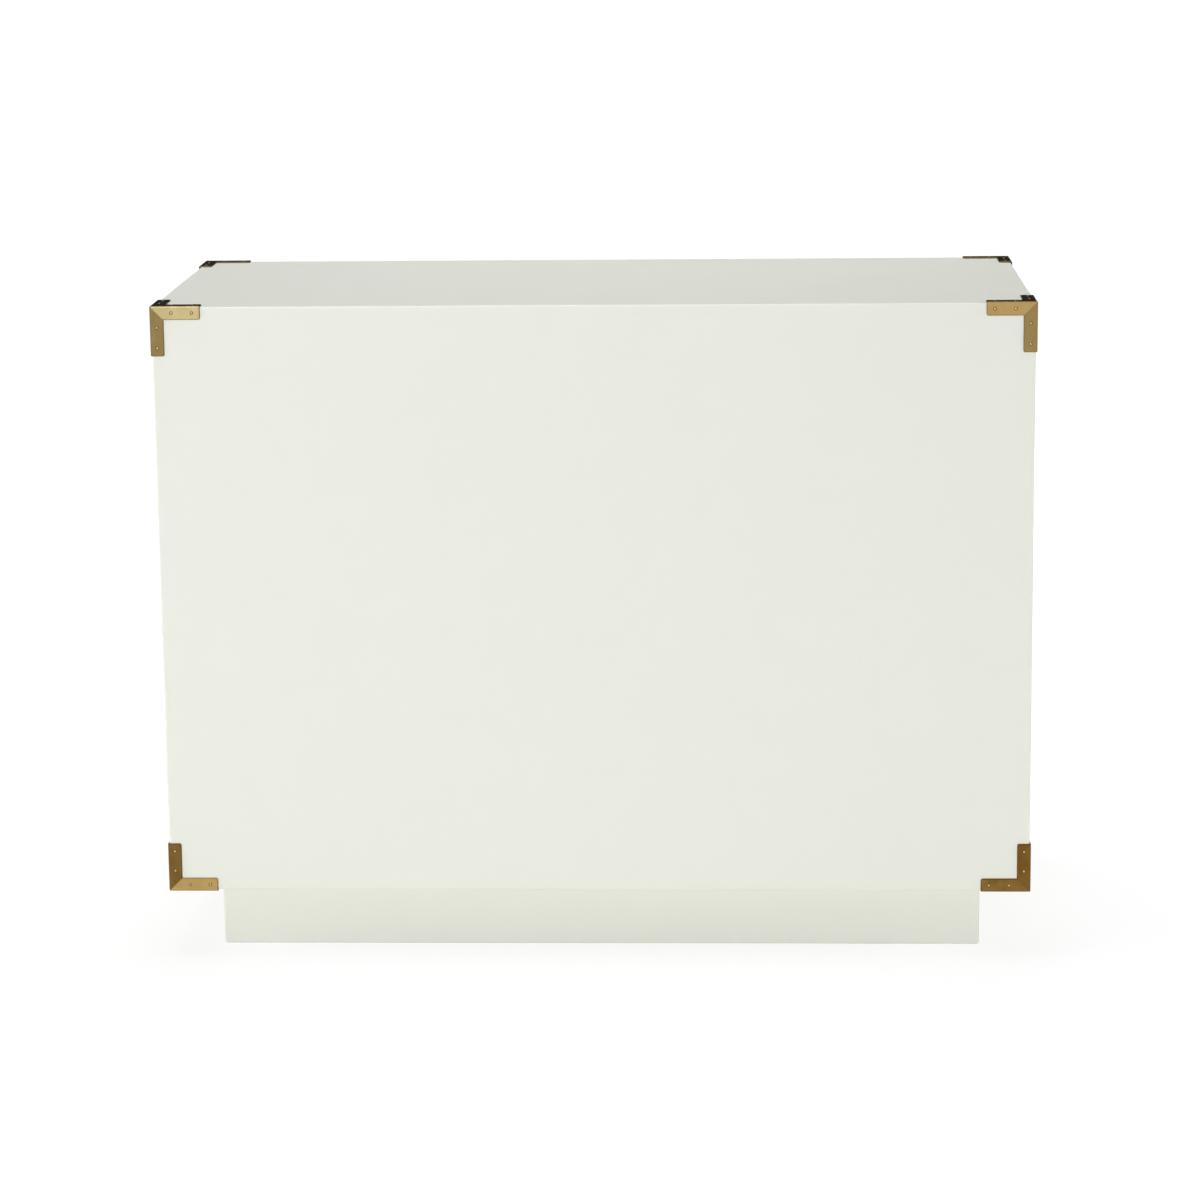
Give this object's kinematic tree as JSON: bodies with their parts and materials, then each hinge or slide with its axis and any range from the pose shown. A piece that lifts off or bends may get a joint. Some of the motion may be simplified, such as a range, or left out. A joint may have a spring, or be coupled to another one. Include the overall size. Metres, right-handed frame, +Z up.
{
  "type": "campaign chest",
  "caption": "White lacquered campaign chest of drawers on a recessed plinth, with brass corner brackets, flush bail pulls and drawers on telescopic runners.",
  "frame": {"origin": "on the floor under the middle of the chest", "axes": "+Z up, +X to the right of someone facing the drawers, drawers open to -Y"},
  "size_m": [1.0716, 0.4616, 0.8223],
  "materials": {
    "lacquer": "off-white satin lacquer",
    "brass": "brushed antique brass",
    "drawer_wood": "clear sealed birch",
    "runner_steel": "bright zinc plate"
  },
  "bodies": {
    "case": {"top_panel": "lacquer", "bottom_panel": "lacquer", "left_side_panel": "lacquer", "right_side_panel": "lacquer", "back_panel": "lacquer", "upper_drawer_rail": "lacquer", "lower_drawer_rail": "lacquer", "plinth_front_board": "lacquer", "plinth_back_board": "lacquer", "plinth_left_board": "lacquer", "plinth_right_board": "lacquer", "plinth_corner_blocks": "drawer_wood", "front_left_top_bracket": "brass", "front_left_bottom_bracket": "brass", "front_right_top_bracket": "brass", "front_right_bottom_bracket": "brass", "back_left_top_bracket": "brass", "back_left_bottom_bracket": "brass", "back_right_top_bracket": "brass", "back_right_bottom_bracket": "brass", "bracket_pins": "brass", "bottom_drawer_runner_case_members": "runner_steel", "middle_drawer_runner_case_members": "runner_steel", "top_drawer_runner_case_members": "runner_steel"},
    "bottom_drawer": {"bottom_drawer_front": "lacquer", "bottom_drawer_left_side": "drawer_wood", "bottom_drawer_right_side": "drawer_wood", "bottom_drawer_back": "drawer_wood", "bottom_drawer_bottom": "drawer_wood", "bottom_drawer_runner_drawer_members": "runner_steel", "bottom_drawer_left_pull_plate": "brass", "bottom_drawer_right_pull_plate": "brass", "bottom_drawer_pull_screws": "brass"},
    "bottom_drawer_runner": {"bottom_drawer_runner_middle_members": "runner_steel"},
    "bottom_drawer_left_bail": {"bottom_drawer_left_bail": "brass"},
    "bottom_drawer_right_bail": {"bottom_drawer_right_bail": "brass"},
    "middle_drawer": {"middle_drawer_front": "lacquer", "middle_drawer_left_side": "drawer_wood", "middle_drawer_right_side": "drawer_wood", "middle_drawer_back": "drawer_wood", "middle_drawer_bottom": "drawer_wood", "middle_drawer_runner_drawer_members": "runner_steel", "middle_drawer_left_pull_plate": "brass", "middle_drawer_right_pull_plate": "brass", "middle_drawer_pull_screws": "brass"},
    "middle_drawer_runner": {"middle_drawer_runner_middle_members": "runner_steel"},
    "middle_drawer_left_bail": {"middle_drawer_left_bail": "brass"},
    "middle_drawer_right_bail": {"middle_drawer_right_bail": "brass"},
    "top_drawer": {"top_drawer_front": "lacquer", "top_drawer_left_side": "drawer_wood", "top_drawer_right_side": "drawer_wood", "top_drawer_back": "drawer_wood", "top_drawer_bottom": "drawer_wood", "top_drawer_runner_drawer_members": "runner_steel", "top_drawer_left_pull_plate": "brass", "top_drawer_right_pull_plate": "brass", "top_drawer_pull_screws": "brass"},
    "top_drawer_runner": {"top_drawer_runner_middle_members": "runner_steel"},
    "top_drawer_left_bail": {"top_drawer_left_bail": "brass"},
    "top_drawer_right_bail": {"top_drawer_right_bail": "brass"}
  },
  "joints": [
    {"name": "bottom_drawer_slide", "type": "slide", "parent": "case", "child": "bottom_drawer", "axis": [0, -1, 0], "range_m": [0, 0.38]},
    {"name": "bottom_runner_slide", "type": "slide", "parent": "case", "child": "bottom_drawer_runner", "axis": [0, -1, 0], "range_m": [0, 0.19]},
    {"name": "bottom_left_bail_swing", "type": "hinge", "parent": "bottom_drawer", "child": "bottom_drawer_left_bail", "pos_m": [-0.28, -0.2264, 0.23], "axis": [-1, 0, 0], "range_deg": [0, 90]},
    {"name": "bottom_right_bail_swing", "type": "hinge", "parent": "bottom_drawer", "child": "bottom_drawer_right_bail", "pos_m": [0.28, -0.2264, 0.23], "axis": [-1, 0, 0], "range_deg": [0, 90]},
    {"name": "middle_drawer_slide", "type": "slide", "parent": "case", "child": "middle_drawer", "axis": [0, -1, 0], "range_m": [0, 0.38]},
    {"name": "middle_runner_slide", "type": "slide", "parent": "case", "child": "middle_drawer_runner", "axis": [0, -1, 0], "range_m": [0, 0.19]},
    {"name": "middle_left_bail_swing", "type": "hinge", "parent": "middle_drawer", "child": "middle_drawer_left_bail", "pos_m": [-0.28, -0.2264, 0.466], "axis": [-1, 0, 0], "range_deg": [0, 90]},
    {"name": "middle_right_bail_swing", "type": "hinge", "parent": "middle_drawer", "child": "middle_drawer_right_bail", "pos_m": [0.28, -0.2264, 0.466], "axis": [-1, 0, 0], "range_deg": [0, 90]},
    {"name": "top_drawer_slide", "type": "slide", "parent": "case", "child": "top_drawer", "axis": [0, -1, 0], "range_m": [0, 0.38]},
    {"name": "top_runner_slide", "type": "slide", "parent": "case", "child": "top_drawer_runner", "axis": [0, -1, 0], "range_m": [0, 0.19]},
    {"name": "top_left_bail_swing", "type": "hinge", "parent": "top_drawer", "child": "top_drawer_left_bail", "pos_m": [-0.28, -0.2264, 0.702], "axis": [-1, 0, 0], "range_deg": [0, 90]},
    {"name": "top_right_bail_swing", "type": "hinge", "parent": "top_drawer", "child": "top_drawer_right_bail", "pos_m": [0.28, -0.2264, 0.702], "axis": [-1, 0, 0], "range_deg": [0, 90]}
  ],
  "couplings": [
    {"joint": "bottom_runner_slide", "follows": "bottom_drawer_slide", "ratio": 0.5},
    {"joint": "middle_runner_slide", "follows": "middle_drawer_slide", "ratio": 0.5},
    {"joint": "top_runner_slide", "follows": "top_drawer_slide", "ratio": 0.5}
  ]
}
